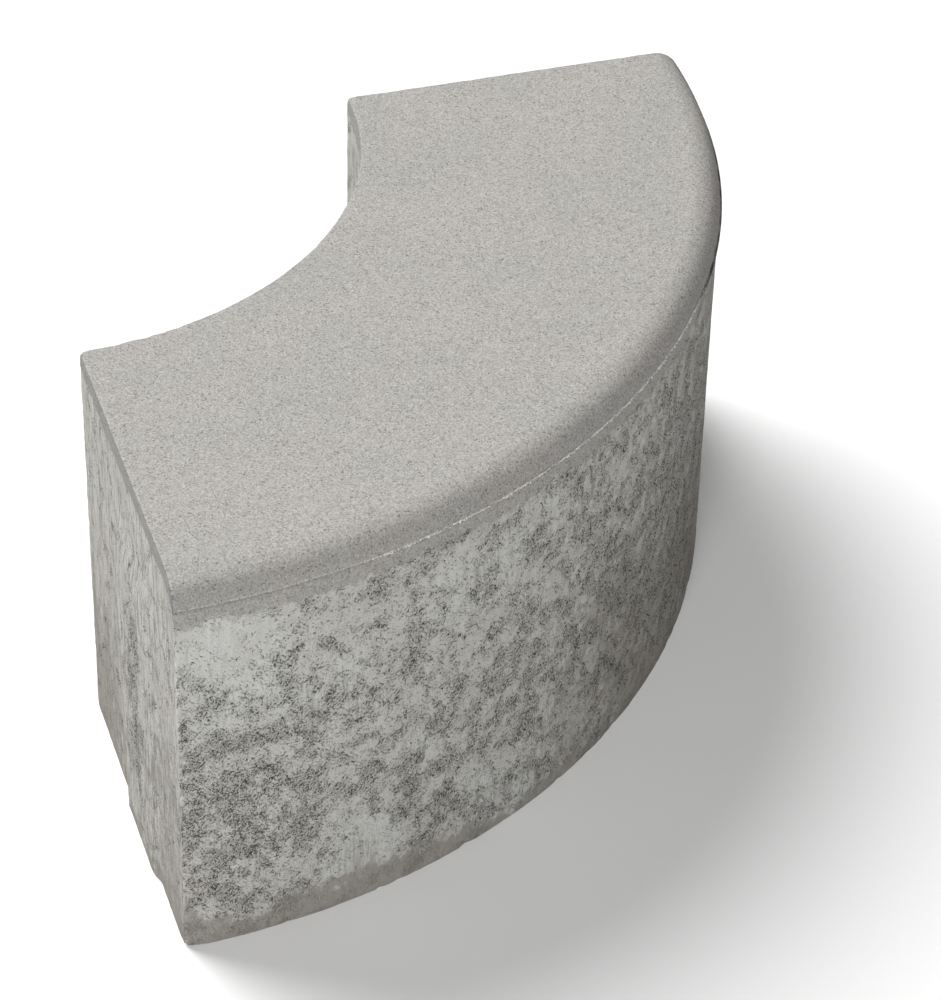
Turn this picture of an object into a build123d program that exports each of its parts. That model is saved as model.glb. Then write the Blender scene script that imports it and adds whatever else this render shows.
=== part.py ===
from build123d import *
import os

# Quarter-ring kerb block of pressed concrete, standing on its bed.
# Two mixes are pressed in one mould while both are fresh: a coarse core mix,
# and a thin, fine facing mix on top of it that carries the rounded walking edge.
# Row frame: +Z up, origin on the bed at the middle of the bounding box.
# The ribbed end faces -X, the plain end faces +Y, the convex wall +X and -Y.
# All lengths are in millimetres and all angles in degrees.

# Overall sizes
OUTER_RADIUS = 500.0
INNER_RADIUS = 250.0
HEIGHT = 300.0
RING_ANGLE = 90.0

# Facing mix and the rounded edge that the pressing shoe gives it
FACING_DEPTH = 12.0
NOSE_RADIUS = 20.0
ARRIS_RADIUS = 2.0

# Flash bead, pressed up between the shoe and the convex mould wall
FLASH_PROUD = 1.0
FLASH_HEIGHT = 2.0
FLASH_START_ANGLE = 12.0
FLASH_END_ANGLE = 1.0

# Spacer rib, which keeps the joint to the next kerb open
RIB_PROUD = 3.5
RIB_CREST_WIDTH = 66.0
RIB_FOOT_WIDTH = 95.0
RIB_OUT_FROM_MIDDLE = 16.0
RIB_STOP_BELOW_TOP = 50.0
RIB_RUN_OUT = 30.0

# How far a cutting shape runs past what it cuts, as a length and as an angle,
# and how deep an added shape starts inside the block that it joins
PAST = 10.0
PAST_ANGLE = 5.0
ROOT_DEPTH = 2.0

# Places that follow from the sizes above
ARC_X = -(OUTER_RADIUS + FLASH_PROUD - RIB_PROUD) / 2
ARC_Y = OUTER_RADIUS / 2
NOSE_START_RADIUS = OUTER_RADIUS - NOSE_RADIUS
SHOE_LINE_Z = HEIGHT - NOSE_RADIUS
MIX_LINE_Z = SHOE_LINE_Z - FACING_DEPTH
CORE_TOP_Z = HEIGHT - FACING_DEPTH
RIB_MIDDLE_RADIUS = (INNER_RADIUS + OUTER_RADIUS) / 2 + RIB_OUT_FROM_MIDDLE
RIB_TOP_Z = HEIGHT - RIB_STOP_BELOW_TOP


def ring_of(section, start_angle, end_angle):
    """Turns a section, drawn in the XZ plane, about the arc's centre line.

    Angle 0 is the ribbed end, and the angle grows towards the plain end.
    """
    turned = revolve(section, Axis.Z, end_angle - start_angle)
    return Rot(0, 0, start_angle - RING_ANGLE) * turned


def kerb_section():
    """Section across the ring: straight walls, flat top, rounded top outer edge."""
    with BuildSketch(Plane.XZ) as section:
        with BuildLine():
            Polyline(
                (NOSE_START_RADIUS, HEIGHT),
                (INNER_RADIUS, HEIGHT),
                (INNER_RADIUS, 0),
                (OUTER_RADIUS, 0),
                (OUTER_RADIUS, SHOE_LINE_Z),
            )
            nose_arc(SHOE_LINE_Z)
        make_face()
    return section.sketch


def core_mix_section():
    """Everything under the facing mix, drawn past the walls so that it cuts cleanly.

    The shoe presses the core mix first, so its top has the kerb's own profile,
    one facing depth lower.
    """
    with BuildSketch(Plane.XZ) as section:
        with BuildLine():
            Polyline(
                (NOSE_START_RADIUS, CORE_TOP_Z),
                (INNER_RADIUS - PAST, CORE_TOP_Z),
                (INNER_RADIUS - PAST, -PAST),
                (OUTER_RADIUS + PAST, -PAST),
                (OUTER_RADIUS + PAST, MIX_LINE_Z),
                (OUTER_RADIUS, MIX_LINE_Z),
            )
            nose_arc(MIX_LINE_Z)
        make_face()
    return section.sketch


def nose_arc(foot_z):
    """Quarter circle of the rounded edge, from the convex wall in to the top."""
    return RadiusArc(
        (OUTER_RADIUS, foot_z),
        (NOSE_START_RADIUS, foot_z + NOSE_RADIUS),
        -NOSE_RADIUS,
    )


def pressed_block():
    """The whole kerb without its rib and flash, its end arrises rounded."""
    block = ring_of(kerb_section(), 0, RING_ANGLE)
    ribbed_end = block.faces().sort_by(Axis.X)[0]
    plain_end = block.faces().sort_by(Axis.Y)[-1]
    end_edges = ribbed_end.edges() + plain_end.edges()
    arrises = [edge for edge in end_edges if edge.center().Z > 0]
    return fillet(arrises, ARRIS_RADIUS)


def spacer_rib():
    """Low rib down the ribbed end, from the bed to a run-out under the top."""
    rib_plan = [
        (ROOT_DEPTH, -RIB_FOOT_WIDTH / 2),
        (0, -RIB_FOOT_WIDTH / 2),
        (-RIB_PROUD, -RIB_CREST_WIDTH / 2),
        (-RIB_PROUD, RIB_CREST_WIDTH / 2),
        (0, RIB_FOOT_WIDTH / 2),
        (ROOT_DEPTH, RIB_FOOT_WIDTH / 2),
    ]
    rib_side = [
        (ROOT_DEPTH, 0),
        (-RIB_PROUD, 0),
        (-RIB_PROUD, RIB_TOP_Z - RIB_RUN_OUT),
        (0, RIB_TOP_Z),
        (ROOT_DEPTH, RIB_TOP_Z),
    ]
    upright = extrude(make_face(Polyline(*rib_plan, close=True)), RIB_TOP_Z)
    side_face = Plane.XZ * make_face(Polyline(*rib_side, close=True))
    side = extrude(side_face, RIB_FOOT_WIDTH, both=True)
    return Pos(0, -RIB_MIDDLE_RADIUS, 0) * (upright & side)


def flash_bead():
    """Low bead that follows the shoe line round the convex wall."""
    with BuildSketch(Plane.XZ) as section:
        with BuildLine():
            Polyline(
                (OUTER_RADIUS, SHOE_LINE_Z),
                (OUTER_RADIUS - ROOT_DEPTH, SHOE_LINE_Z),
                (OUTER_RADIUS - ROOT_DEPTH, SHOE_LINE_Z - FLASH_HEIGHT),
                (OUTER_RADIUS, SHOE_LINE_Z - FLASH_HEIGHT),
            )
            ThreePointArc(
                (OUTER_RADIUS, SHOE_LINE_Z - FLASH_HEIGHT),
                (OUTER_RADIUS + FLASH_PROUD, SHOE_LINE_Z - FLASH_HEIGHT / 2),
                (OUTER_RADIUS, SHOE_LINE_Z),
            )
        make_face()
    return ring_of(section.sketch, FLASH_START_ANGLE, RING_ANGLE - FLASH_END_ANGLE)


def kerb_parts():
    """The two castings, which meet face to face all over."""
    block = pressed_block()
    core_mix = ring_of(core_mix_section(), -PAST_ANGLE, RING_ANGLE + PAST_ANGLE)
    return {
        "core_block": (block & core_mix) + spacer_rib(),
        "facing_layer": (block - core_mix) + flash_bead(),
    }


os.makedirs("parts", exist_ok=True)
for node, casting in kerb_parts().items():
    placed = Pos(ARC_X, ARC_Y, 0) * casting
    placed.label = node
    export_step(placed, f"parts/{node}.step")
    print(node, "volume", round(placed.volume), "mm3, box", placed.bounding_box())
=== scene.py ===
import math

import bpy
import numpy as np
from mathutils import Matrix, Vector


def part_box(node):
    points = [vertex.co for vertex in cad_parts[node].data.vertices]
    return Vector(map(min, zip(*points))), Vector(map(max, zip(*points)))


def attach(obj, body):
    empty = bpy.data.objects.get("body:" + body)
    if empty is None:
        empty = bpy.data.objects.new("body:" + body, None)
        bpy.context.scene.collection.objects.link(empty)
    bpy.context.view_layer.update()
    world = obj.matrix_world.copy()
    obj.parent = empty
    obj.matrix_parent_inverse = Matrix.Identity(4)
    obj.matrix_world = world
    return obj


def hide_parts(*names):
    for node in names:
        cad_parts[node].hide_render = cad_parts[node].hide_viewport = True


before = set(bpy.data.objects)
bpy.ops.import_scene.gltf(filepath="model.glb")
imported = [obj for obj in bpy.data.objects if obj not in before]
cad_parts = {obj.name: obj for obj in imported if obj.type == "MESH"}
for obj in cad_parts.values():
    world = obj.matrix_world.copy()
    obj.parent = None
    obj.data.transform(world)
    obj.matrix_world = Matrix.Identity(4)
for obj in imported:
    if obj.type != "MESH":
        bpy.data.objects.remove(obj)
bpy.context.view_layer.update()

# ---------------------------------------------------------------------------
# Core block
# The body of the kerb: coarse, fairly dry concrete, rammed into a steel mould
# and stripped at once, so that its walls come out as a thin cement skin, broken
# by patches where the grain stays open. It stands on the bed it was cast on.
# ---------------------------------------------------------------------------

core_low, core_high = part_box("core_block")
facing_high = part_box("facing_layer")[1]
RIB_PROUD = 0.0035
INNER_RADIUS = 0.250
OUTER_RADIUS = core_high.y - core_low.y
ARC_X = core_low.x + RIB_PROUD
ARC_Y = core_high.y
TOP_Z = facing_high.z
NOSE_RADIUS = 0.020
FACING_DEPTH = TOP_Z - core_high.z
SHOE_LINE_Z = TOP_Z - NOSE_RADIUS
MIX_LINE_Z = SHOE_LINE_Z - FACING_DEPTH
QUARTER = math.pi / 2
END_WIDTH = OUTER_RADIUS - INNER_RADIUS
LONG_WALL = OUTER_RADIUS * QUARTER
# Mesh lines near an arris, where the shape turns quickly: distances from the arris,
# and on the rounded edge the last angles before it meets the convex wall.
ARRIS_LINES = np.array([0.0, 0.0006, 0.0013, 0.0021, 0.0031])
NOSE_LAST_EVEN = 0.09
NOSE_LAST_LINES = np.array([0.05, 0.022, 0.0])


def cell_lines(length, spacing):
    """Places along one side of the block, closer together at its two arrises."""
    first, last = ARRIS_LINES[-1], length - ARRIS_LINES[-1]
    count = round((length - 2 * first) / spacing)
    middle = np.linspace(first, last, count + 1)
    return np.concatenate([ARRIS_LINES[:-1], middle, length - ARRIS_LINES[-2::-1]])


def cell_skin(across, around, up):
    """Numbers the outside points of a lattice of cells, and lists the quads between them.

    Returns the three place numbers of every point, and the quads, which face outwards.
    """
    counts = (len(across), len(around), len(up))
    inside = np.zeros(counts, bool)
    inside[1:-1, 1:-1, 1:-1] = True
    ids = np.full(counts, -1, np.int32)
    places = np.argwhere(~inside)
    ids[tuple(places.T)] = np.arange(len(places))

    def quads(side):
        corners = side[:-1, :-1], side[1:, :-1], side[1:, 1:], side[:-1, 1:]
        return np.stack([corner.ravel() for corner in corners], -1)

    sides = [
        ids[:, :, -1], ids[:, :, 0].T,
        ids[-1, :, :], ids[0, :, :].T,
        ids[:, -1, :].T, ids[:, 0, :],
    ]
    return places.T, np.concatenate([quads(side) for side in sides])


def waves(x, y, seed, lengths, height):
    """A slow random swell over the plan: a sum of waves of the given lengths, in metres."""
    rng = np.random.default_rng(seed)
    swell = np.zeros_like(x)
    for length in lengths:
        heading = rng.uniform(0, math.tau)
        phase = rng.uniform(0, math.tau)
        along = x * math.cos(heading) + y * math.sin(heading)
        swell += np.sin(along * math.tau / length + phase)
    return swell * height / math.sqrt(len(lengths))


def nose_drop(radius):
    """How far the rounded edge lies under the flat top, at a distance from the arc's centre."""
    past = np.clip(radius - (OUTER_RADIUS - NOSE_RADIUS), 0, NOSE_RADIUS)
    return NOSE_RADIUS - np.sqrt(NOSE_RADIUS**2 - past**2)


# A swell is given by its seed, the lengths of its waves and its height, in metres.
MIX_SWELL = (5, (0.011, 0.014, 0.019, 0.027, 0.041, 0.067, 0.13, 0.21), 0.0013)


def core_top(radius, turn):
    """Height of the face between the two mixes, which wanders by a few millimetres."""
    x = radius * np.sin(turn)
    y = -radius * np.cos(turn)
    wander = waves(x, y, *MIX_SWELL)
    return TOP_Z - FACING_DEPTH - nose_drop(radius) + wander


def across_lines(spacing):
    """Distances from the arc's centre: even on the flat, then by angle round the nose."""
    flat = cell_lines(END_WIDTH - NOSE_RADIUS, spacing)
    flat = flat[flat <= END_WIDTH - NOSE_RADIUS - ARRIS_LINES[-1]]
    flat = np.append(flat, END_WIDTH - NOSE_RADIUS)
    count = round(NOSE_RADIUS * QUARTER / spacing)
    angles = np.linspace(0, QUARTER - NOSE_LAST_EVEN, count)[1:]
    angles = np.append(angles, QUARTER - NOSE_LAST_LINES)
    return INNER_RADIUS + np.append(flat, END_WIDTH - NOSE_RADIUS * (1 - np.sin(angles)))


def smooth_step(low, high, value):
    """0 at low, 1 at high, smooth between."""
    part = np.clip((value - low) / (high - low), 0, 1)
    return part * part * (3 - 2 * part)


def on_arc(radius, turn, height):
    """A place given by its distance from the arc's centre, its turn round it, and its height."""
    return np.stack([radius * np.sin(turn), -radius * np.cos(turn), height], -1)


def wall_directions(turn):
    """Which way is out from the arc's centre, and which way is on round the arc."""
    level = 0 * turn
    outwards = np.stack([np.sin(turn), -np.cos(turn), level], -1)
    onwards = np.stack([np.cos(turn), np.sin(turn), level], -1)
    return outwards, onwards


NO_LENGTH = 1e-9


def wear(points, gaps, outward, radius):
    """Rounds every arris to the radius, which may change from point to point.

    gaps: distance of each point from each side of the block; outward: each side's normal.
    """
    reach = np.maximum(radius - gaps, 0)
    length = np.maximum(np.sqrt((reach**2).sum(0)), NO_LENGTH)
    shrink = np.minimum(radius / length, 1)
    inward = np.where(reach > 0, radius - reach * shrink - gaps, 0)
    return points - (inward[..., None] * outward).sum(0)


SHARPEST_ARRIS = 0.0003
# This one's height is a share of the arris's radius.
ARRIS_SWELL = (8, (0.009, 0.013, 0.023, 0.05, 0.11), 0.28)


def chipped(points, spots, base):
    """Radius of the arrises: a base that wanders a little, and more at each chipped spot."""
    x, y, z = points.T
    radius = base * (1 + waves(x + z, y - z, *ARRIS_SWELL))
    for spot, depth, reach in spots:
        away = ((points - np.array(spot)) ** 2).sum(1)
        radius = radius + depth * np.exp(-away / reach**2)
    return np.maximum(radius, SHARPEST_ARRIS)


CHIPS = 60
DEEPEST_CHIP = 0.0022
CHIP_REACH = (0.0015, 0.005)
CHIPS_INNER_AND_OUTER = (0.35, 0.65)
CHIPS_ON_UPRIGHTS = 0.3


def edge_spots(seed, heights):
    """Random chipped spots, some down the four upright arrises and most along the curved edges."""
    rng = np.random.default_rng(seed)
    spots = []
    for _ in range(CHIPS):
        radius = rng.choice([INNER_RADIUS, OUTER_RADIUS], p=CHIPS_INNER_AND_OUTER)
        if rng.random() < CHIPS_ON_UPRIGHTS:
            turn = rng.choice([0.0, QUARTER])
            height = rng.uniform(*heights)
        else:
            turn = rng.uniform(0, QUARTER)
            height = heights[0]
        place = (radius * math.sin(turn), -radius * math.cos(turn), height)
        spots.append((place, DEEPEST_CHIP * rng.random() ** 2, rng.uniform(*CHIP_REACH)))
    return spots


def surface_mesh(name, points, fields, edges=(), quads=()):
    """A mesh with its place in it, and with its named fields kept on its points."""
    mesh = bpy.data.meshes.new(name)
    mesh.from_pydata(points + np.array([ARC_X, ARC_Y, 0]), edges, quads)
    for label, values in fields.items():
        mesh.attributes.new(label, "FLOAT", "POINT").data.foreach_set("value", values)
    return mesh


# Where the convex wall opens into pits more, or less, than elsewhere: distance round
# the wall from the ribbed end, height and reach in metres, and strength.
OPEN_PATCHES = [
    (0.025, 0.150, 0.040, 1.0),
    (0.030, 0.085, 0.050, 1.1),
    (0.090, 0.110, 0.035, 0.4),
    (0.100, 0.170, 0.035, 0.3),
    (0.105, 0.085, 0.014, 0.6),
    (0.160, 0.075, 0.030, 0.9),
    (0.180, 0.040, 0.020, 1.0),
    (0.250, 0.110, 0.035, 1.1),
    (0.330, 0.150, 0.050, 0.9),
    (0.340, 0.240, 0.030, 0.5),
    (0.385, 0.090, 0.040, 1.1),
    (0.430, 0.190, 0.050, 1.2),
    (0.470, 0.090, 0.070, 1.4),
    (0.520, 0.190, 0.060, 1.0),
    (0.600, 0.150, 0.080, 0.9),
    (0.130, 0.060, 0.022, -1.1),
    (0.125, 0.030, 0.030, -1.2),
    (0.030, 0.252, 0.030, -1.5),
    (0.100, 0.250, 0.040, -0.3),
    (0.215, 0.245, 0.040, -0.3),
    (0.105, 0.215, 0.030, -0.3),
]
# Pale veils where cement paste has run down the wall, in the same terms.
PALE_VEILS = [
    (0.045, 0.235, 0.050, 0.7),
    (0.125, 0.100, 0.012, 0.9),
    (0.130, 0.045, 0.030, 1.0),
    (0.215, 0.200, 0.060, 0.5),
    (0.230, 0.040, 0.050, 0.4),
]


def spread(spots, run, rise):
    """Adds up round spots of the given reach and strength over a wall."""
    total = np.zeros_like(run)
    for middle, level, reach, strength in spots:
        total += strength * np.exp(-((run - middle) ** 2 + (rise - level) ** 2) / reach**2)
    return total


# The rib: a low pad cast on one end, which keeps the joint to the next kerb open. It
# reaches down to the bed, and runs out some way below the top.
RIB_MIDDLE = 0.391
RIB_FOOT = 0.095
RIB_CREST = 0.066
RIB_TOP_Z = 0.250
RIB_RUN_OUT = 0.030
RIB_EASE = 0.001

# The near bottom corner is knocked off: its place, how much rounder it is, and how far
# that reaches.
KNOCKED_CORNER = ((0.0, -OUTER_RADIUS, 0.0), 0.0035, 0.009)
CORE_ARRIS = 0.0012
CORE_CHIP_SEED = 31

# How far apart the mesh's points are over the walls, and from wall to wall.
GRID = 0.0016
GRID_ACROSS = 0.0025

core_across = across_lines(GRID_ACROSS)
core_around = cell_lines(LONG_WALL, GRID) / OUTER_RADIUS
core_up = cell_lines(MIX_LINE_Z, GRID)
(across, around, up), core_quads = cell_skin(core_across, core_around, core_up)
radius, turn = core_across[across], core_around[around]
top_here = core_top(radius, turn)
height = core_up[up] / MIX_LINE_Z * top_here
core_points = on_arc(radius, turn, height)

radial, tangent = wall_directions(turn)
upward = np.broadcast_to([0.0, 0.0, 1.0], radial.shape)
core_gaps = np.stack([
    OUTER_RADIUS - radius,
    radius - INNER_RADIUS,
    radius * turn,
    radius * (QUARTER - turn),
    height,
])
core_outward = np.stack([radial, -radial, -tangent, tangent, -upward])
core_spots = edge_spots(CORE_CHIP_SEED, (0.0, MIX_LINE_Z)) + [KNOCKED_CORNER]
core_radius = chipped(core_points, core_spots, CORE_ARRIS)
core_points = wear(core_points, core_gaps, core_outward, core_radius)

from_rib = np.abs(radius - RIB_MIDDLE)
rib_across = 1 - smooth_step(RIB_CREST / 2 - RIB_EASE, RIB_FOOT / 2 + RIB_EASE, from_rib)
rib_up = 1 - smooth_step(RIB_TOP_Z - RIB_RUN_OUT, RIB_TOP_Z, height)
core_points[:, 0] -= np.where(around == 0, RIB_PROUD * rib_across * rib_up, 0)

# What a point belongs to, and how far it may be roughened: nothing moves on the bed
# or at the mix line, so that the two mixes stay closed on each other.
SEALED_EDGE = 0.003
NEAR_CONVEX = 0.02
below_mix = np.where(up == len(core_up) - 1, 0, top_here - height)
can_weather = smooth_step(0, SEALED_EDGE, below_mix) * np.where(up == 0, 0.0, 1.0)
run_outer = turn * OUTER_RADIUS
between_ends = (around > 0) & (around < len(core_around) - 1)
on_convex = 1.0 * (OUTER_RADIUS - radius < NEAR_CONVEX) * between_ends
on_ribbed = 1.0 * (around == 0)

# How readily the skin opens into pits: by patches on the convex wall, hardly at all on
# the other walls, and in a strip down the rib. Here and below, a pair of places says
# where something is absent and where it is in full.
CLOSED_WALLS = -0.9
STRIP_OPEN = 2.6
STRIP_REACH = 0.015
STRIP_BEGINS = (0.03, 0.08)
STRIP_STOPS = (0.24, 0.17)
STRIP_SWELL = (77, (0.045, 0.07, 0.12), 0.005)
strip_wander = waves(height, 0 * height, *STRIP_SWELL)
strip = np.exp(-((radius - RIB_MIDDLE + strip_wander) / STRIP_REACH) ** 2)
strip = strip * smooth_step(*STRIP_BEGINS, height) * smooth_step(*STRIP_STOPS, height)
porous = on_convex * spread(OPEN_PATCHES, run_outer, height)
porous += (1 - on_convex) * CLOSED_WALLS
porous += on_ribbed * strip * STRIP_OPEN

# The dark foot, where the mix has slumped on its pallet. On the convex wall it climbs
# beside the ribbed end and is lower further round. On the ends it is lower still.
FOOT_HEIGHT = 0.021
FOOT_CLIMB = 0.030
FOOT_CLIMB_REACH = 0.008
FOOT_DROP = 0.011
FOOT_DROPS_ROUND = (0.17, 0.26)
END_FOOT_HEIGHT = 0.006
RIBBED_FOOT_RISE = 0.005
RIBBED_FOOT_OUTER_RISE = 0.013
RIBBED_FOOT_RISES = (0.40, 0.50)
SLUMP_SWELL = (21, (0.03, 0.05, 0.08, 0.13, 0.21), 0.003)
wall_foot = FOOT_HEIGHT - FOOT_DROP * smooth_step(*FOOT_DROPS_ROUND, run_outer)
wall_foot = wall_foot + FOOT_CLIMB * np.exp(-run_outer / FOOT_CLIMB_REACH)
ribbed_rise = RIBBED_FOOT_RISE + RIBBED_FOOT_OUTER_RISE * smooth_step(*RIBBED_FOOT_RISES, radius)
end_foot = END_FOOT_HEIGHT + on_ribbed * ribbed_rise
slump = waves(run_outer, 0 * height, *SLUMP_SWELL)
foot_top = np.where(on_convex > 0, wall_foot, end_foot) + slump

# Brown stain and painted shade: low down on the far part of the convex wall it is partly
# a real stain and partly painted shade, darker towards the bottom and the far end; from
# the foot upwards on the other walls it is a stain, strongest at the inner arris and
# weakest in mid-wall.
FAR_STAIN_AND_SHADE = 0.8
FAR_STAIN_AND_SHADE_ROUND = (0.22, 0.40)
FAR_STAIN_AND_SHADE_UP = (0.24, 0.06)
INNER_STAIN = 1.15
MIDDLE_STAIN_LESS = 0.70
MIDDLE_FROM_INNER = (0.27, 0.36)
OUTER_STAIN_MORE = 0.30
OUTER_FROM_MIDDLE = (0.42, 0.47)
END_STAIN_UP = (0.28, 0.0)
DAMP_SWELL = (52, (0.02, 0.035, 0.07, 0.12, 0.2), 0.022)
damp = waves(radius * turn + radius, 0 * height, *DAMP_SWELL)
far_stain_and_shade = FAR_STAIN_AND_SHADE * smooth_step(*FAR_STAIN_AND_SHADE_ROUND, run_outer) * smooth_step(*FAR_STAIN_AND_SHADE_UP, height)
end_stain = INNER_STAIN - MIDDLE_STAIN_LESS * smooth_step(*MIDDLE_FROM_INNER, radius)
end_stain = end_stain + OUTER_STAIN_MORE * smooth_step(*OUTER_FROM_MIDDLE, radius)
end_stain = end_stain * smooth_step(*END_STAIN_UP, height + damp)

# The upright arrises are rubbed pale here and there.
PALE_ARRIS_REACH = 0.0014
from_upright = np.hypot(
    np.minimum(radius - INNER_RADIUS, OUTER_RADIUS - radius),
    radius * np.minimum(turn, QUARTER - turn),
)

VEIL_ELSEWHERE = 0.2
SCORED_CONVEX = 0.28
SCORED_RIBBED = 1.0
SCORED_ELSEWHERE = 0.62
core_fields = {
    "weather": can_weather,
    "porous": porous,
    "low": foot_top - height,
    "stain_and_shade": on_convex * far_stain_and_shade + (1 - on_convex) * end_stain,
    "veil": on_convex * spread(PALE_VEILS, run_outer, height) + (1 - on_convex) * VEIL_ELSEWHERE,
    "scored": np.where(
        on_convex > 0, SCORED_CONVEX, np.where(on_ribbed > 0, SCORED_RIBBED, SCORED_ELSEWHERE)
    ),
    "below_mix": top_here - height,
    "arris": np.exp(-(from_upright / PALE_ARRIS_REACH) ** 2),
}
core_raw = surface_mesh("core_raw", core_points, core_fields, quads=core_quads)


class Wire:
    """A value on its way between two nodes. Arithmetic on it adds Math nodes."""

    def __init__(self, bench, socket):
        self.bench = bench
        self.socket = socket

    def math(self, operation, *values):
        return self.bench.node("ShaderNodeMath", {"operation": operation}, values)

    def __add__(self, other):
        return self.math("ADD", self, other)

    def __sub__(self, other):
        return self.math("SUBTRACT", self, other)

    def __rsub__(self, other):
        return self.math("SUBTRACT", other, self)

    def __mul__(self, other):
        return self.math("MULTIPLY", self, other)

    def __pow__(self, other):
        return self.math("POWER", self, other)

    __radd__ = __add__
    __rmul__ = __mul__


class Bench:
    """The place where a node tree is put together, for a material or for a shape."""

    def __init__(self, tree):
        self.tree = tree

    def node(self, kind, settings=None, values=(), out=0):
        """Adds a node: its settings first, then its sockets' values or links.

        Returns one of its outputs, or nothing if the node ends the tree.
        """
        made = self.tree.nodes.new(kind)
        for name, setting in (settings or {}).items():
            setattr(made, name, setting)
        pairs = values.items() if isinstance(values, dict) else enumerate(values)
        for key, value in pairs:
            if isinstance(value, Wire):
                self.tree.links.new(value.socket, made.inputs[key])
            else:
                made.inputs[key].default_value = value
        return None if out is None else Wire(self, made.outputs[out])

    def parts(self, vector):
        """The three numbers of a vector, or of a colour."""
        split = self.node("ShaderNodeSeparateXYZ", values=[vector])
        outputs = split.socket.node.outputs
        return [Wire(self, socket) for socket in outputs]

    def vector(self, x, y, z=0.0):
        """Puts numbers together to a vector."""
        return self.node("ShaderNodeCombineXYZ", values=[x, y, z])

    def noise(self, place, scale, detail=2.0, roughness=0.5, flat=True):
        """Fractal noise with a mean near 0.5."""
        settings = {"noise_dimensions": "2D" if flat else "3D"}
        values = {"Vector": place, "Scale": scale, "Detail": detail, "Roughness": roughness}
        return self.node("ShaderNodeTexNoise", settings, values)

    def ramp(self, value, low, high):
        """0 below low, 1 above high, smooth between."""
        settings = {"interpolation_type": "SMOOTHSTEP"}
        values = {"Value": value, "From Min": low, "From Max": high}
        return self.node("ShaderNodeMapRange", settings, values)

    def mix(self, amount, first, second):
        """Mixes two colours, which go in the node's sockets 6 and 7, and come out at 2."""
        settings = {"data_type": "RGBA", "clamp_factor": True}
        return self.node("ShaderNodeMix", settings, {0: amount, 6: first, 7: second}, out=2)


def unrolled(bench, place):
    """The mould's walls laid flat: how far round the block from the ribbed end's inner
    arris a point is, and how high. A point belongs to the wall that it is nearest to."""
    x, y, rise = bench.parts(place)
    east = x - ARC_X
    north = y - ARC_Y
    radius = (east * east + north * north) ** 0.5
    turn = bench.node("ShaderNodeMath", {"operation": "ARCTAN2"}, [east, north * -1])
    walls = [
        (east, radius - INNER_RADIUS),
        (OUTER_RADIUS - radius, turn * OUTER_RADIUS + END_WIDTH),
        (north * -1, (OUTER_RADIUS + END_WIDTH + LONG_WALL) - radius),
        (radius - INNER_RADIUS, turn * -INNER_RADIUS + (3 * END_WIDTH + LONG_WALL)),
    ]
    nearest, run = walls[0]
    for gap, wall_run in walls[1:]:
        nearer = gap.math("LESS_THAN", gap, nearest)
        run = run + nearer * (wall_run - run)
        nearest = gap.math("MINIMUM", gap, nearest)
    return run, rise


SKEW = math.radians(43)
LIP_SHIFT = 0.0007
# Random patterns, each with its scale per metre, its detail and its roughness.
OPEN_LACE = (46.0, 8.0, 0.72)
PIT_CLUSTERS = (130.0, 3.0, 0.7)
FINE_GRAIN = (620.0, 3.0, 0.85)
COARSE_GRAIN = (310.0, 3.0, 0.80)


def skewed(bench, run, rise):
    """A place on the walls, turned a little so that no pattern lines up with the arrises."""
    along = run * math.cos(SKEW) + rise * math.sin(SKEW)
    return bench.vector(along, rise * math.cos(SKEW) - run * math.sin(SKEW))


def open_grain(bench, run, rise, porous):
    """The cement skin and the grain that shows where it is open.

    Returns the depth of the pits, 0 to 1, how open the skin is, the lips that the
    rising mould drags out below the pits, which the finish paints pale as a highlight,
    and the grain itself, which has a mean of 0.
    """
    wall = skewed(bench, run, rise)
    lace = bench.noise(wall, *OPEN_LACE)
    cover = bench.ramp(lace + porous * 0.075, 0.42, 0.63)
    clusters = bench.noise(wall, *PIT_CLUSTERS)
    closed = porous.math("MINIMUM", porous, 0.0) * 0.035
    openness = cover * 0.105 + (clusters - 0.5) * 0.40 + closed + 0.010

    def pits_at(place):
        fine = bench.noise(place, *FINE_GRAIN)
        coarse = bench.noise(place, *COARSE_GRAIN)
        fine_pits = bench.ramp(fine + openness, 0.585, 0.80)
        coarse_pits = bench.ramp(coarse + openness * 0.7, 0.640, 0.76)
        return fine_pits.math("MAXIMUM", fine_pits, coarse_pits), fine - 0.5

    pits, grain = pits_at(wall)
    lips_and_highlights = pits_at(skewed(bench, run - LIP_SHIFT, rise + LIP_SHIFT))[0]
    return pits, cover, lips_and_highlights * (1 - pits), grain


# Scores per metre across the wall, and lengths of score per metre up it.
FINE_SCORES = (480.0, 55.0)
BROAD_SCORES = (170.0, 17.0)
SCORE_GAIN = 2.9


def drag_marks(bench, run, rise):
    """Fine upright scores left on the walls as the mould is lifted off, with a mean of 0."""

    def stretched(scale):
        return bench.vector(run * scale[0], rise * scale[1])

    fine = bench.noise(stretched(FINE_SCORES), 1.0, 2.0, 0.7)
    broad = bench.noise(stretched(BROAD_SCORES), 1.0, 4.0, 0.8)
    return (fine + broad) * SCORE_GAIN - SCORE_GAIN


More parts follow.
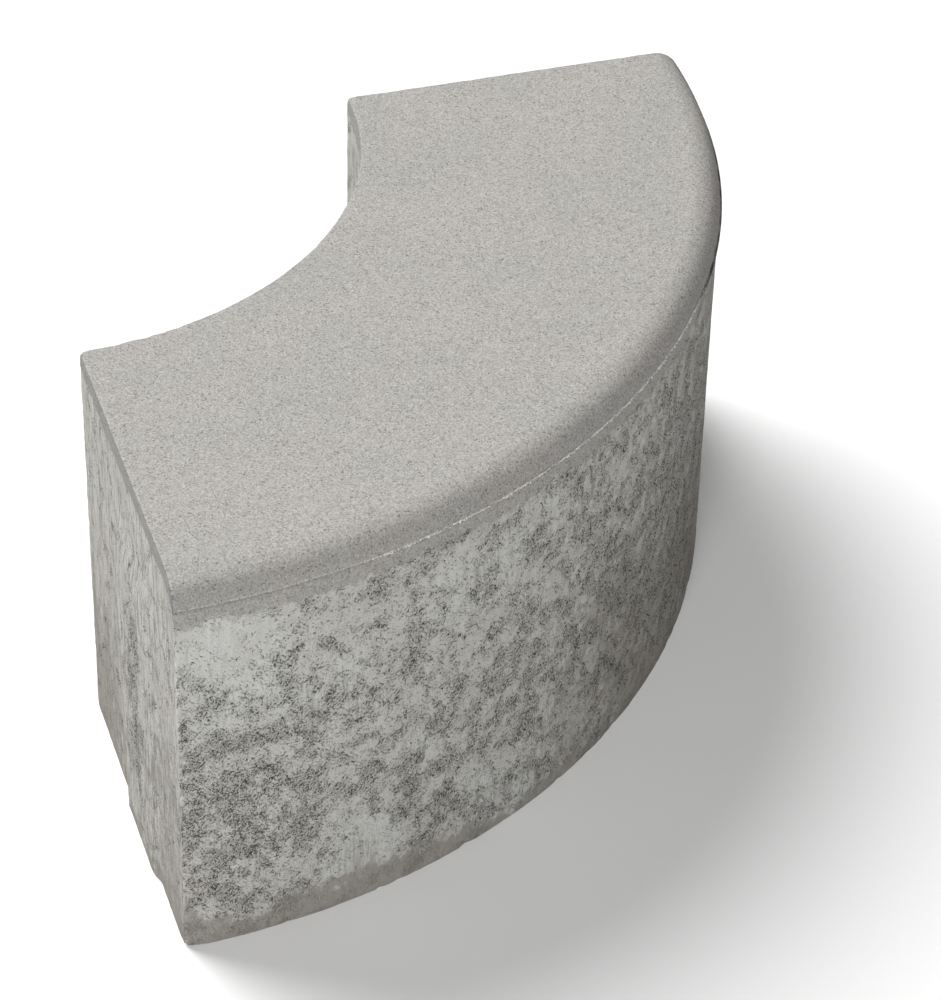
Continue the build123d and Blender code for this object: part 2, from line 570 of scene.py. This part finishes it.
def shape_by_nodes(mesh, name, build, material, sizes=None):
    """Puts a mesh in an object whose geometry node tree shapes it, with named inputs for sizes."""
    tree = bpy.data.node_groups.new(name, "GeometryNodeTree")
    tree.interface.new_socket("Geometry", in_out="INPUT", socket_type="NodeSocketGeometry")
    tree.interface.new_socket("Geometry", in_out="OUTPUT", socket_type="NodeSocketGeometry")
    named_inputs = {}
    for size, value in (sizes or {}).items():
        kind = "NodeSocketInt" if isinstance(value, int) else "NodeSocketFloat"
        socket = tree.interface.new_socket(size, in_out="INPUT", socket_type=kind)
        named_inputs[socket.identifier] = value
    bench = Bench(tree)
    start = bench.node("NodeGroupInput")
    inputs = [Wire(bench, socket) for socket in start.socket.node.outputs[1:-1]]
    shaped = build(bench, start, *inputs)
    real = bench.node("GeometryNodeRealizeInstances", values=[shaped])
    coated = bench.node("GeometryNodeSetMaterial", values={"Geometry": real, "Material": material})
    bench.node("NodeGroupOutput", values=[coated], out=None)
    carrier = bpy.data.objects.new(name, mesh)
    bpy.context.scene.collection.objects.link(carrier)
    modifier = carrier.modifiers.new("shape", "NODES")
    modifier.node_group = tree
    for identifier, value in named_inputs.items():
        modifier[identifier] = value
    return carrier


SHARP_FROM = math.radians(60)


def plain_piece(carrier, name, keep):
    """Thins the mesh where it is flat, makes it plain and puts it in place of its carrier.

    keep: the share of its faces that stay.
    """
    if keep < 1:
        thin = carrier.modifiers.new("thin", "DECIMATE")
        thin.ratio = keep
    graph = bpy.context.evaluated_depsgraph_get()
    mesh = bpy.data.meshes.new_from_object(carrier.evaluated_get(graph))
    bpy.data.objects.remove(carrier)
    mesh.name = name
    mesh.shade_smooth()
    mesh.set_sharp_from_angle(angle=SHARP_FROM)
    piece = bpy.data.objects.new(name, mesh)
    bpy.context.scene.collection.objects.link(piece)
    return piece


def named(bench, field):
    """A field kept on the mesh's points, for a shape."""
    settings = {"data_type": "FLOAT"}
    return bench.node("GeometryNodeInputNamedAttribute", settings, {"Name": field})


def sink(bench, geometry, depth):
    """Moves a surface inwards along its normal."""
    normal = bench.node("GeometryNodeInputNormal")
    settings = {"operation": "SCALE"}
    offset = bench.node("ShaderNodeVectorMath", settings, {0: normal, "Scale": depth * -1})
    return bench.node("GeometryNodeSetPosition", values={"Geometry": geometry, "Offset": offset})


CORE_LUMPS = (60.0, 3.0, 0.6)


def core_relief(bench, geometry, pit_depth, score_depth, lump_height):
    """Pits, open patches, lips, scores and low lumps, as far as the mesh can show them."""
    place = bench.node("GeometryNodeInputPosition")
    run, rise = unrolled(bench, place)
    pits, cover, lips_and_highlights = open_grain(bench, run, rise, named(bench, "porous"))[:3]
    scores = drag_marks(bench, run, rise) * named(bench, "scored")
    lumps = bench.noise(bench.vector(run, rise), *CORE_LUMPS)
    opened = pits + cover * 0.33 - lips_and_highlights * 0.22
    depth = opened * pit_depth - scores * score_depth + lumps * lump_height
    return sink(bench, geometry, depth * named(bench, "weather"))


def new_finish(name):
    """An empty material, and the bench that its nodes are put together on."""
    material = bpy.data.materials.new(name)
    material.use_nodes = True
    material.node_tree.nodes.clear()
    return material, Bench(material.node_tree)


def object_place(bench):
    """Where a point of the piece lies, in the frame that its mesh is built in."""
    return bench.node("ShaderNodeTexCoord", out="Object")


def field(bench, name):
    """A field kept on the mesh's points, for a finish."""
    return bench.node("ShaderNodeAttribute", {"attribute_name": name}, out="Fac")


def shaded(bench, colour, shade):
    """A colour made lighter or darker by a number that changes over the surface."""
    return bench.node("ShaderNodeVectorMath", {"operation": "SCALE"}, {0: colour, "Scale": shade})


def matt_concrete(bench, colour, roughness, gloss, bump):
    """Closes a material with one matt shader.

    bump: its strength, its depth in metres, and the heights that it follows.
    """
    strength, depth, heights = bump
    values = {"Strength": strength, "Distance": depth, "Height": heights}
    normal = bench.node("ShaderNodeBump", values=values)
    values = {
        "Base Color": colour,
        "Roughness": roughness,
        "Specular IOR Level": gloss,
        "Normal": normal,
    }
    shader = bench.node("ShaderNodeBsdfPrincipled", values=values)
    bench.node("ShaderNodeOutputMaterial", values=[shader], out=None)


SKIN_GREY = (0.342, 0.333, 0.306, 1)
SKIN_PALE = (0.375, 0.378, 0.358, 1)
GRAIN_BROWN = (0.235, 0.222, 0.195, 1)
STREAK_BROWN = (0.215, 0.200, 0.172, 1)
# Painted shade: near black for the shade inside the pits.
PIT_SHADE = (0.045, 0.043, 0.038, 1)
# Brown for the stain, which low on the far part of the convex wall also stands in for painted shade.
STAIN_AND_SHADE_BROWN = (0.165, 0.154, 0.134, 1)
BASE_BROWN = (0.200, 0.187, 0.168, 1)
SMEAR_GREY = (0.225, 0.218, 0.200, 1)
ARRIS_PALE = (0.50, 0.49, 0.46, 1)
CORE_ROUGHNESS = 0.92
CORE_GLOSS = 0.2
CORE_BUMP = 0.0011
CORE_BUMP_STRENGTH = 0.8
CORE_CLOUDS = (14.0, 4.0, 0.6)
CORE_BLOTCHES = (75.0, 5.0, 0.7)
CORE_SAND = (900.0, 2.0, 0.7)


def core_finish():
    """Cement skin, stained and scored, over the darker grain of the open patches and pits. The pits
    are painted near black as shade, the lips below them are painted pale as a highlight, and low on
    the far part of the convex wall the stain is partly painted shade.
    """
    material, bench = new_finish("core_concrete")
    run, rise = unrolled(bench, object_place(bench))
    wall = bench.vector(run, rise)
    pits, cover, lips_and_highlights, grain = open_grain(bench, run, rise, field(bench, "porous"))
    scores = drag_marks(bench, run, rise) * field(bench, "scored")
    clouds = bench.noise(wall, *CORE_CLOUDS)
    blotches = bench.noise(wall, *CORE_BLOTCHES)
    sand = bench.noise(wall, *CORE_SAND)

    # The skin, with its pale veils, its brown stain, which low on the far wall is partly painted
    # shade, and brown streaks in the scores.
    veiled = bench.ramp(clouds + field(bench, "veil") * 0.3, 0.42, 0.72)
    skin = bench.mix(veiled, SKIN_GREY, SKIN_PALE)
    stain_and_shade = field(bench, "stain_and_shade")
    stained_and_shaded = bench.ramp(stain_and_shade + blotches * 0.9 + clouds * 0.9, 1.0, 1.9)
    skin = bench.mix(stained_and_shaded * 0.7, skin, STAIN_AND_SHADE_BROWN)
    streaks = bench.ramp(scores + (clouds - 0.5) * 1.5 + stain_and_shade * 0.3, 0.05, 0.65)
    skin = bench.mix(streaks * 0.75, skin, STREAK_BROWN)

    # What lies over it: open grain, facing mix smeared down from the line, and the foot.
    colour = bench.mix(cover * 0.33, skin, GRAIN_BROWN)
    smeared = bench.ramp((blotches - 0.5) * 0.03 - field(bench, "below_mix"), -0.004, 0.001)
    colour = bench.mix(smeared * 0.8, colour, SMEAR_GREY)
    foot = bench.ramp(field(bench, "low") + (blotches - 0.5) * 0.05, -0.005, 0.005)
    colour = bench.mix(foot * 0.85, colour, BASE_BROWN)
    rubbed = field(bench, "arris") * bench.ramp(blotches, 0.46, 0.60)
    colour = bench.mix(rubbed * 0.55, colour, ARRIS_PALE)

    # The pits, painted near black as the shade in them, which the slumped foot closes.
    pits = pits * (1 - foot * 0.8)
    colour = bench.mix(pits * 0.95, colour, PIT_SHADE)
    # Painted highlight: the lips below the pits are made paler, as if lit from above.
    shade = 1.04 - scores * 0.22 + (sand - 0.5) * 0.5 + lips_and_highlights * 0.50 - grain * cover
    heights = sand * 0.3 + lips_and_highlights * 0.4 - pits - grain * cover
    colour = shaded(bench, colour, shade)
    bump = (CORE_BUMP_STRENGTH, CORE_BUMP, heights)
    matt_concrete(bench, colour, CORE_ROUGHNESS, CORE_GLOSS, bump)
    return material


CORE_KEEP = 0.29
core_material = core_finish()
core_sizes = {"Pit depth": 0.0009, "Score depth": 0.0002, "Lump height": 0.0004}
carrier = shape_by_nodes(core_raw, "core_shape", core_relief, core_material, core_sizes)
core_piece = plain_piece(carrier, "core_casting", CORE_KEEP)
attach(core_piece, "root")
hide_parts("core_block")

# ---------------------------------------------------------------------------
# Facing layer
# A thin bed of fine, sandy mix, spread on the core while both are wet and pressed
# down by a steel shoe. The shoe leaves the sandy top and the rounded outer edge, and
# a thin fin where its rim met the mould. The layer is bonded to the core all over.
# ---------------------------------------------------------------------------

FACING_ARRIS = 0.0011
FACING_CHIP_SEED = 47
FACING_LAYERS = np.array([0, 0.12, 0.24, 0.36, 0.48, 0.60, 0.70, 0.80, 0.88, 0.93, 0.97, 1])

facing_across = across_lines(GRID)
facing_up = FACING_DEPTH * FACING_LAYERS
(across, around, up), facing_quads = cell_skin(facing_across, core_around, facing_up)
radius, turn = facing_across[across], core_around[around]
bottom_here = core_top(radius, turn)
top_here = TOP_Z - nose_drop(radius)
height = bottom_here + facing_up[up] / FACING_DEPTH * (top_here - bottom_here)
facing_points = on_arc(radius, turn, height)
radial, tangent = wall_directions(turn)
past_nose = np.maximum(radius - (OUTER_RADIUS - NOSE_RADIUS), 0)
over_nose = np.maximum(height - SHOE_LINE_Z, 0)
from_nose = np.maximum(np.hypot(past_nose, over_nose), NO_LENGTH)
pressed = radial * (past_nose / from_nose)[:, None]
pressed[:, 2] = over_nose / from_nose
facing_gaps = np.stack([
    NOSE_RADIUS - from_nose,
    radius - INNER_RADIUS,
    radius * turn,
    radius * (QUARTER - turn),
])
facing_outward = np.stack([pressed, -radial, -tangent, tangent])
facing_spots = edge_spots(FACING_CHIP_SEED, (TOP_Z, TOP_Z))
facing_radius = chipped(facing_points, facing_spots, FACING_ARRIS)
facing_points = wear(facing_points, facing_gaps, facing_outward, facing_radius)

# The fin at the shoe line. Near the ribbed end it broke away and left the edge set
# back. Past the middle of the wall it widens to a ledge, which the finish paints dark
# as shade. The pairs are distances round the wall from the ribbed end.
FIN_PROUD = 0.0009
FIN_HALF_WIDTH = 0.0006
FIN_BEGINS = (0.110, 0.150)
FIN_STOPS = (0.53, 0.47)
FIN_USUAL = 0.8
FIN_MOST = 1.2
FIN_SWELL = (63, (0.004, 0.006, 0.009, 0.013, 0.021, 0.04), 0.5)
LEDGE_PROUD = 0.0016
LEDGE_HALF_WIDTH = 0.0009
LEDGE_BEGINS = (0.46, 0.53)
EDGE_OUT = 0.0004
EDGE_BACK = 0.0003
EDGE_BACK_UNTIL = (0.14, 0.09)
SKIN_DEPTH = 0.0012
JUST_UNDER = 0.0001

run_outer = turn * OUTER_RADIUS
along_nose = NOSE_RADIUS * np.arctan2(over_nose, past_nose)
from_shoe_line = np.where(over_nose > 0, along_nose, SHOE_LINE_Z - height)
at_surface = np.exp(-((NOSE_RADIUS - from_nose) / SKIN_DEPTH) ** 2)


def fin_strength(run):
    """How far the fin stands out at a place round the wall, from 0 where it broke away."""
    broken = waves(run, 0 * run, *FIN_SWELL)
    whole = smooth_step(*FIN_BEGINS, run) * smooth_step(*FIN_STOPS, run)
    return whole * np.clip(FIN_USUAL + broken, 0, FIN_MOST)


fin_profile = at_surface * np.exp(-(from_shoe_line / FIN_HALF_WIDTH) ** 2)
fin = fin_profile * fin_strength(run_outer)
far_round = smooth_step(*LEDGE_BEGINS, run_outer)
ledge = at_surface * np.exp(-(from_shoe_line / LEDGE_HALF_WIDTH) ** 2) * far_round
hang = EDGE_OUT * far_round - EDGE_BACK * smooth_step(*EDGE_BACK_UNTIL, run_outer)
hang = hang * (past_nose / NOSE_RADIUS) ** 2 * (height > SHOE_LINE_Z - JUST_UNDER)
facing_points += radial * (fin * FIN_PROUD + ledge * LEDGE_PROUD + hang)[:, None]

# Painted shade: a thin dark line under the fin, and a broader dark strip along the ledge, in the
# shade of the rounded edge.
LINE_BELOW = 0.0010
LINE_HALF_WIDTH = 0.0009
LINE_SHADE_STRENGTH = 0.30
LEDGE_SHADE_WIDTH = 0.0006
LEDGE_SHADE_FADE = 0.0010
LEDGE_SHADE_SWELL = (91, (0.005, 0.008, 0.014, 0.03), 0.0004)
line_profile = np.exp(-((from_shoe_line - LINE_BELOW) / LINE_HALF_WIDTH) ** 2)
under_line = at_surface * line_profile * (over_nose == 0)
ledge_shade_width = LEDGE_SHADE_WIDTH + waves(run_outer, 0 * run_outer, *LEDGE_SHADE_SWELL)
ledge_shade = at_surface * smooth_step(ledge_shade_width + LEDGE_SHADE_FADE, ledge_shade_width, from_shoe_line)

INNER_WALL_WITHIN = 0.0005
OUTER_WALL_BELOW = 0.0003
on_underside = up == 0
on_end = (around == 0) | (around == len(core_around) - 1)
on_inner_wall = radius < INNER_RADIUS + INNER_WALL_WITHIN
on_side = on_end | on_inner_wall | (height < SHOE_LINE_Z - OUTER_WALL_BELOW)
facing_fields = {
    "weather": np.where(on_underside, 0.0, smooth_step(0, SEALED_EDGE, height - bottom_here)),
    "side": 1.0 * on_side,
    "fin": fin,
    "end": 1.0 * on_end,
    "nose": past_nose / NOSE_RADIUS * (over_nose > 0),
    "shoe_line_shade": np.clip(under_line * LINE_SHADE_STRENGTH + ledge_shade * far_round, 0, 1),
    "above_mix": height - bottom_here,
}
facing_raw = surface_mesh("facing_raw", facing_points, facing_fields, quads=facing_quads)


FACING_GRIT = (420.0, 2.0, 0.6)


def facing_relief(bench, geometry, grain_height):
    """A fine, even roughness all over, which fades out at the mix line."""
    place = bench.node("GeometryNodeInputPosition")
    grain = bench.noise(place, *FACING_GRIT, flat=False)
    return sink(bench, geometry, grain * grain_height * named(bench, "weather"))


FACING_GREY = (0.332, 0.325, 0.306, 1)
FACING_WARM = (0.336, 0.321, 0.303, 1)
SAND_DARK = (0.10, 0.093, 0.085, 1)
SAND_PALE = (0.52, 0.51, 0.48, 1)
# Painted highlight: pale grey for the fin where it catches the light.
FIN_HIGHLIGHT = (0.62, 0.60, 0.56, 1)
# Painted shade: near black for the shade under the fin and along the ledge.
PAINTED_SHADE_DARK = (0.050, 0.047, 0.042, 1)
FACING_ROUGHNESS = 0.88
FACING_GLOSS = 0.25
FACING_BUMP = 0.0006
FACING_BUMP_STRENGTH = 0.9
FACING_CLOUDS = (16.0, 4.0, 0.6)
FACING_BLOTCHES = (90.0, 4.0, 0.7)
FACING_PASTE = (800.0, 2.0, 0.8)
GRAINS_PER_METRE = 1050.0
SIDE_DARKER = 0.27
# Painted shade on the rounded edge, growing as it turns down from the top.
NOSE_SHADE = 0.26
END_DARKER = 0.10


def facing_finish():
    """Sand grains, a few dark and a few pale, in a grey paste. The sides are a shade darker. The fin
    is painted pale as a highlight, the line under it and the ledge are painted dark as shade, and
    the rounded edge is painted darker as shade where it turns down.
    """
    material, bench = new_finish("facing_concrete")
    place = object_place(bench)
    clouds = bench.noise(place, *FACING_CLOUDS, flat=False)
    blotches = bench.noise(place, *FACING_BLOTCHES, flat=False)
    paste = bench.noise(place, *FACING_PASTE, flat=False)
    settings = {"voronoi_dimensions": "3D"}
    values = {"Vector": place, "Scale": GRAINS_PER_METRE}
    grains = bench.node("ShaderNodeTexVoronoi", settings, values, out="Color")
    is_dark, grain_shade, is_pale = bench.parts(grains)

    colour = bench.mix(bench.ramp(clouds, 0.38, 0.62), FACING_GREY, FACING_WARM)
    dark = bench.ramp(is_dark, 0.92, 0.95) * 0.6 + bench.ramp(paste, 0.62, 0.72) * 0.4
    colour = bench.mix(dark, colour, SAND_DARK)
    colour = bench.mix(bench.ramp(is_pale, 0.90, 0.98) * 0.25, colour, SAND_PALE)
    # Painted highlight: the fin is painted pale.
    colour = bench.mix(field(bench, "fin"), colour, FIN_HIGHLIGHT)
    # Painted shade under the fin and along the ledge.
    colour = bench.mix(field(bench, "shoe_line_shade"), colour, PAINTED_SHADE_DARK)
    skinned = bench.ramp((blotches - 0.5) * 0.02 - field(bench, "above_mix"), -0.002, 0.001)
    colour = bench.mix(skinned * 0.7 * field(bench, "side"), colour, SKIN_GREY)

    side = bench.ramp(field(bench, "side"), 0.3, 0.7)
    nose = bench.ramp(field(bench, "nose"), 0.50, 0.95)
    end = field(bench, "end")
    shade = grain_shade * 0.44 + (paste - 0.5) * -0.5 + 0.86
    # Painted shade: the rounded edge is painted darker as it turns down from the top.
    shade = shade * (1 - side * SIDE_DARKER) * (1 - nose * NOSE_SHADE) * (1 - end * END_DARKER)
    shade = shade * (1 + (clouds - 0.5) * 0.15)
    heights = grain_shade * 0.7 - paste
    colour = shaded(bench, colour, shade)
    bump = (FACING_BUMP_STRENGTH, FACING_BUMP, heights)
    matt_concrete(bench, colour, FACING_ROUGHNESS, FACING_GLOSS, bump)
    return material


FACING_KEEP = 0.5
facing_material = facing_finish()
facing_sizes = {"Grain height": 0.0004}
carrier = shape_by_nodes(facing_raw, "facing_shape", facing_relief, facing_material, facing_sizes)
facing_piece = plain_piece(carrier, "facing_casting", FACING_KEEP)
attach(facing_piece, "root")
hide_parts("facing_layer")

# ---------------------------------------------------------------------------
# Crumbs on the shoe line
# Where the pressing shoe meets the mould a little fine mix squeezes out, and is
# left as crumbs of mortar along the fin. Each is a grain or two of sand in paste.
# ---------------------------------------------------------------------------

CRUMBS_START = 0.10
CRUMBS_END = 0.53
CRUMBS_PROUD = 0.0005
CRUMB_STEPS = 500


def shoe_line(name):
    """A line of points that follows the fin round the convex wall."""
    run = np.linspace(CRUMBS_START, CRUMBS_END, CRUMB_STEPS)
    points = on_arc(OUTER_RADIUS + CRUMBS_PROUD, run / OUTER_RADIUS, SHOE_LINE_Z + 0 * run)
    edges = [(step, step + 1) for step in range(CRUMB_STEPS - 1)]
    return surface_mesh(name, points, {"crumbs": fin_strength(run)}, edges=edges)


# How far crumbs are shifted, stretched and turned at random, along each axis.
LEAST_SHIFT, MOST_SHIFT = (-0.0004, -0.0004, -0.0007), (0.0004, 0.0004, 0.0006)
LEAST_SCALE, MOST_SCALE = (0.5, 0.5, 0.4), (1.6, 1.6, 1.1)
LEAST_TURN, MOST_TURN = (0, 0, 0), (6.28, 6.28, 6.28)


def crumbs_on_line(bench, geometry, size, spacing, seed):
    """Small uneven stones, thick on the line where the fin is whole and few where it broke."""
    curve = bench.node("GeometryNodeMeshToCurve", values=[geometry])
    values = {"Curve": curve, "Length": spacing}
    even = bench.node("GeometryNodeResampleCurve", {"mode": "LENGTH"}, values)
    points = bench.node("GeometryNodeCurveToPoints", {"mode": "EVALUATED"}, [even])
    chance = bench.node("FunctionNodeRandomValue", {"data_type": "FLOAT"}, {"Seed": seed}, out=1)
    bare = chance.math("GREATER_THAN", chance, named(bench, "crumbs"))
    kept = bench.node("GeometryNodeDeleteGeometry", {"domain": "POINT"}, {0: points, 1: bare})

    def random_vector(least, most, offset):
        values = {0: least, 1: most, "Seed": seed + offset}
        return bench.node("FunctionNodeRandomValue", {"data_type": "FLOAT_VECTOR"}, values)

    shift = random_vector(LEAST_SHIFT, MOST_SHIFT, 1)
    moved = bench.node("GeometryNodeSetPosition", values={"Geometry": kept, "Offset": shift})
    stone = bench.node("GeometryNodeMeshIcoSphere", values={"Radius": size, "Subdivisions": 1})
    scale = random_vector(LEAST_SCALE, MOST_SCALE, 2)
    turned = random_vector(LEAST_TURN, MOST_TURN, 3)
    values = {"Points": moved, "Instance": stone, "Rotation": turned, "Scale": scale}
    return bench.node("GeometryNodeInstanceOnPoints", values=values)


CRUMB_ROUGHNESS = 0.9
CRUMB_GLOSS = 0.5
CRUMB_BUMP = 0.0002
CRUMB_BUMP_STRENGTH = 0.5
CRUMB_STONES = (350.0, 2.0, 0.6)
CRUMB_PASTE = (2500.0, 2.0, 0.6)


def crumb_finish():
    """The facing's grey and the pale grey of the fin's painted highlight, by turns along the line.
    """
    material, bench = new_finish("crumb_mortar")
    place = object_place(bench)
    stones = bench.noise(place, *CRUMB_STONES, flat=False)
    paste = bench.noise(place, *CRUMB_PASTE, flat=False)
    colour = bench.mix(bench.ramp(stones, 0.35, 0.65), FACING_GREY, FIN_HIGHLIGHT)
    bump = (CRUMB_BUMP_STRENGTH, CRUMB_BUMP, paste)
    matt_concrete(bench, colour, CRUMB_ROUGHNESS, CRUMB_GLOSS, bump)
    return material


crumb_line = shoe_line("crumb_line")
crumb_sizes = {"Size": 0.00062, "Spacing": 0.0008, "Seed": 7}
carrier = shape_by_nodes(crumb_line, "crumb_shape", crumbs_on_line, crumb_finish(), crumb_sizes)
crumbs = plain_piece(carrier, "shoe_line_crumbs", keep=1)
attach(crumbs, "root")

# ---------------------------------------------------------------------------
# Studio
# Not part of the kerb: a plain pale floor, a faint even light all round, and two big
# round softboxes, one high behind the block and one lower in front.
# ---------------------------------------------------------------------------

FLOOR_REACH = 25.0
FLOOR_GREY = (0.85, 0.85, 0.85, 1)
FLOOR_ROUGHNESS = 0.9
WORLD_STRENGTH = 0.12

floor_mesh = bpy.data.meshes.new("studio_floor")
floor_corners = [
    (-FLOOR_REACH, -FLOOR_REACH, 0),
    (FLOOR_REACH, -FLOOR_REACH, 0),
    (FLOOR_REACH, FLOOR_REACH, 0),
    (-FLOOR_REACH, FLOOR_REACH, 0),
]
floor_mesh.from_pydata(floor_corners, [], [(0, 1, 2, 3)])
floor = bpy.data.objects.new("studio_floor", floor_mesh)
bpy.context.scene.collection.objects.link(floor)
floor_paint = bpy.data.materials.new("studio_floor")
floor_paint.use_nodes = True
floor_shader = floor_paint.node_tree.nodes["Principled BSDF"]
floor_shader.inputs["Base Color"].default_value = FLOOR_GREY
floor_shader.inputs["Roughness"].default_value = FLOOR_ROUGHNESS
floor_mesh.materials.append(floor_paint)

world = bpy.data.worlds.new("studio")
world.use_nodes = True
world_light = world.node_tree.nodes["Background"]
world_light.inputs["Color"].default_value = (1, 1, 1, 1)
world_light.inputs["Strength"].default_value = WORLD_STRENGTH
bpy.context.scene.world = world


SOFTBOX_DISTANCE = 10.0


def softbox(name, azimuth, elevation, size, power):
    """A round area light that looks at the middle of the block.

    azimuth, elevation: in degrees from the front; size in metres; power in watts.
    """
    light = bpy.data.lights.new(name, "AREA")
    light.shape = "DISK"
    light.size = size
    light.energy = power
    lamp = bpy.data.objects.new(name, light)
    across, up = math.radians(azimuth), math.radians(elevation)
    away = (math.sin(across) * math.cos(up), -math.cos(across) * math.cos(up), math.sin(up))
    back = Vector(away)
    lamp.location = Vector((0, 0, TOP_Z / 2)) + back * SOFTBOX_DISTANCE
    lamp.rotation_euler = back.to_track_quat("Z", "Y").to_euler()
    lamp.visible_camera = False
    bpy.context.scene.collection.objects.link(lamp)


softbox("back", azimuth=-150, elevation=49, size=8.0, power=1500)
softbox("front", azimuth=-18, elevation=26, size=7.0, power=906)

# The camera's place is given from the arc's centre, and its turns in degrees.
CAMERA_PLACE = (ARC_X - 0.37435, ARC_Y - 2.19795, 1.71765)
CAMERA_HEADING = -18.2435
CAMERA_DOWN = 37.8926
CAMERA_ROLL = 1.4613

camera = bpy.data.cameras.new("camera")
camera.lens = 135.6
camera.sensor_width = 36
camera.clip_end = 50
viewer = bpy.data.objects.new("camera", camera)
turn_view = Matrix.Rotation(math.radians(CAMERA_HEADING), 4, "Z")
tip_view = Matrix.Rotation(math.radians(90 - CAMERA_DOWN), 4, "X")
roll_view = Matrix.Rotation(math.radians(CAMERA_ROLL), 4, "Z")
viewer.matrix_world = Matrix.Translation(CAMERA_PLACE) @ turn_view @ tip_view @ roll_view
bpy.context.scene.collection.objects.link(viewer)
bpy.context.scene.camera = viewer
bpy.context.scene.view_settings.view_transform = "Standard"
